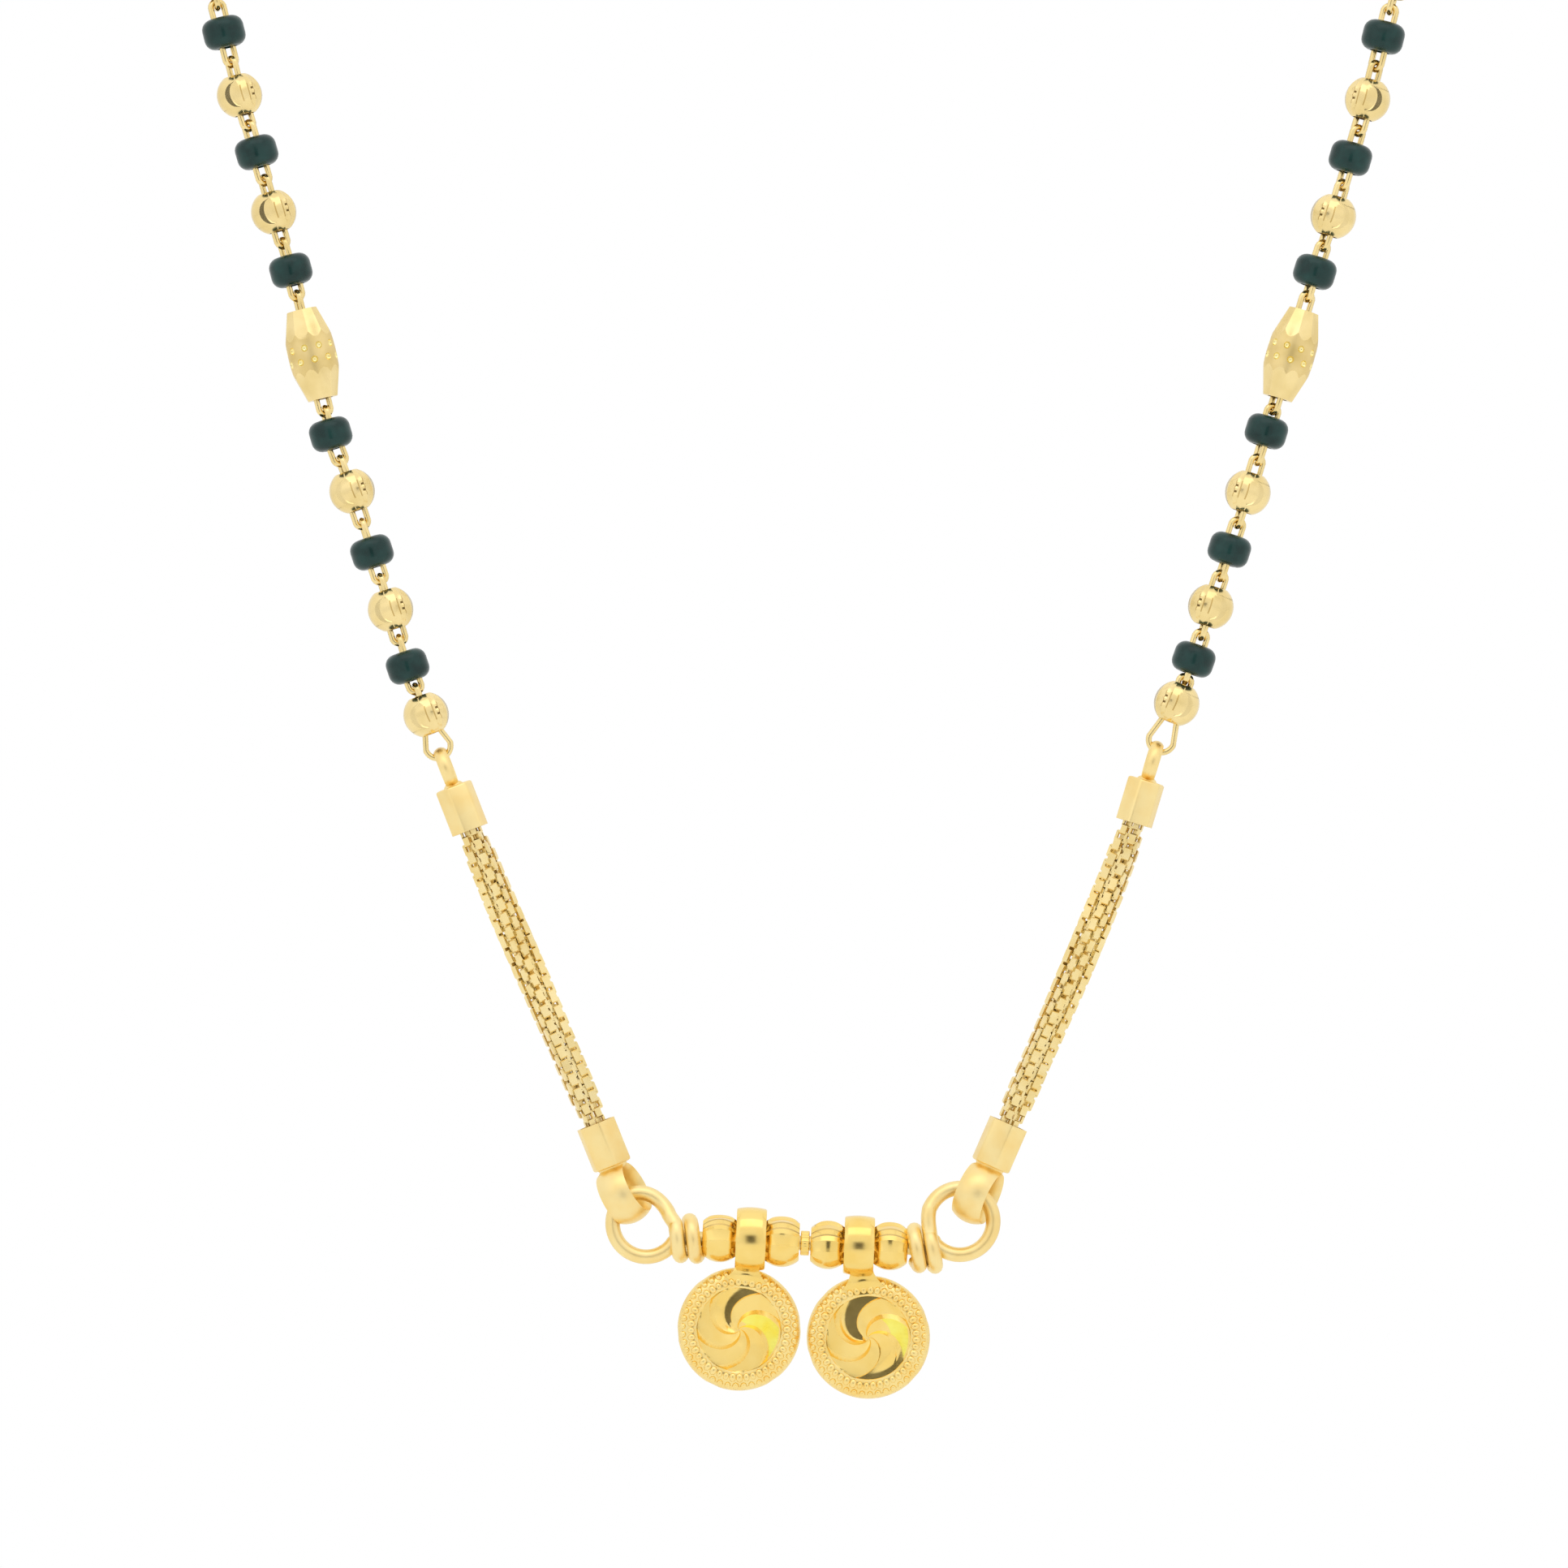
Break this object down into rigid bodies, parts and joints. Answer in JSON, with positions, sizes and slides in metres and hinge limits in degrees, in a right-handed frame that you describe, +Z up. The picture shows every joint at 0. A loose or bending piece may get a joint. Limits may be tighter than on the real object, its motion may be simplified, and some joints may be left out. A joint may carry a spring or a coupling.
{
  "type": "mangalsutra necklace",
  "caption": "Closed necklace of gold and black beads strung on a fine chain, ending in chain bundles with caps that hold a wired bar, from which round cup pendants hang and swing.",
  "frame": {"origin": "middle of the clasp hook at the nape, where the loop hangs on the back of the neck", "axes": "+X along the bar to the viewer's right, +Y from the pendants towards the nape, +Z up"},
  "size_m": [0.098, 0.0888, 0.1555],
  "materials": {
    "gold": "polished 22-carat yellow gold with diamond-cut grooves",
    "satin_gold": "satin 22-carat yellow gold, smooth and softly rubbed",
    "black_glass": "opaque black glass with a dark green cast, glossy"
  },
  "bodies": {
    "necklace": {"bead_left_1": "black_glass", "bead_left_2": "gold", "bead_left_3": "black_glass", "bead_left_4": "gold", "bead_left_5": "black_glass", "bead_left_6": "gold", "bead_left_7": "black_glass", "bead_left_8": "gold", "bead_left_9": "black_glass", "bead_left_10": "gold", "bead_left_11": "black_glass", "bead_left_12": "gold", "bead_right_1": "black_glass", "bead_right_2": "gold", "bead_right_3": "black_glass", "bead_right_4": "gold", "bead_right_5": "black_glass", "bead_right_6": "gold", "bead_right_7": "black_glass", "bead_right_8": "gold", "bead_right_9": "black_glass", "bead_right_10": "gold", "bead_right_11": "black_glass", "bead_right_12": "gold", "front_chain_left": "gold", "front_chain_right": "gold", "back_chain_left": "gold", "back_chain_right": "gold", "back_black_beads_left": "black_glass", "back_black_beads_right": "black_glass", "back_gold_beads_left": "gold", "back_gold_beads_right": "gold", "end_ring_left": "gold", "end_ring_right": "gold", "clasp_hook": "gold", "upper_cap_left": "satin_gold", "upper_cap_right": "satin_gold", "bundle_left": "gold", "bundle_right": "gold", "lower_cap_left": "satin_gold", "lower_cap_right": "satin_gold", "bar_wire": "satin_gold", "bar_spacer": "gold", "bar_ball_1": "gold", "bar_ball_2": "gold", "bar_ball_3": "gold", "bar_ball_4": "gold"},
    "pendant_left_body": {"pendant_left": "gold"},
    "pendant_right_body": {"pendant_right": "gold"}
  },
  "joints": [
    {"name": "pendant_left_swing", "type": "hinge", "parent": "necklace", "child": "pendant_left_body", "pos_m": [-0.0037, -0.085, -0.14214], "axis": [0.9991, 0, -0.0419], "continuous": true},
    {"name": "pendant_right_swing", "type": "hinge", "parent": "necklace", "child": "pendant_right_body", "pos_m": [0.0039, -0.085, -0.14246], "axis": [0.9991, 0, -0.0419], "continuous": true}
  ]
}
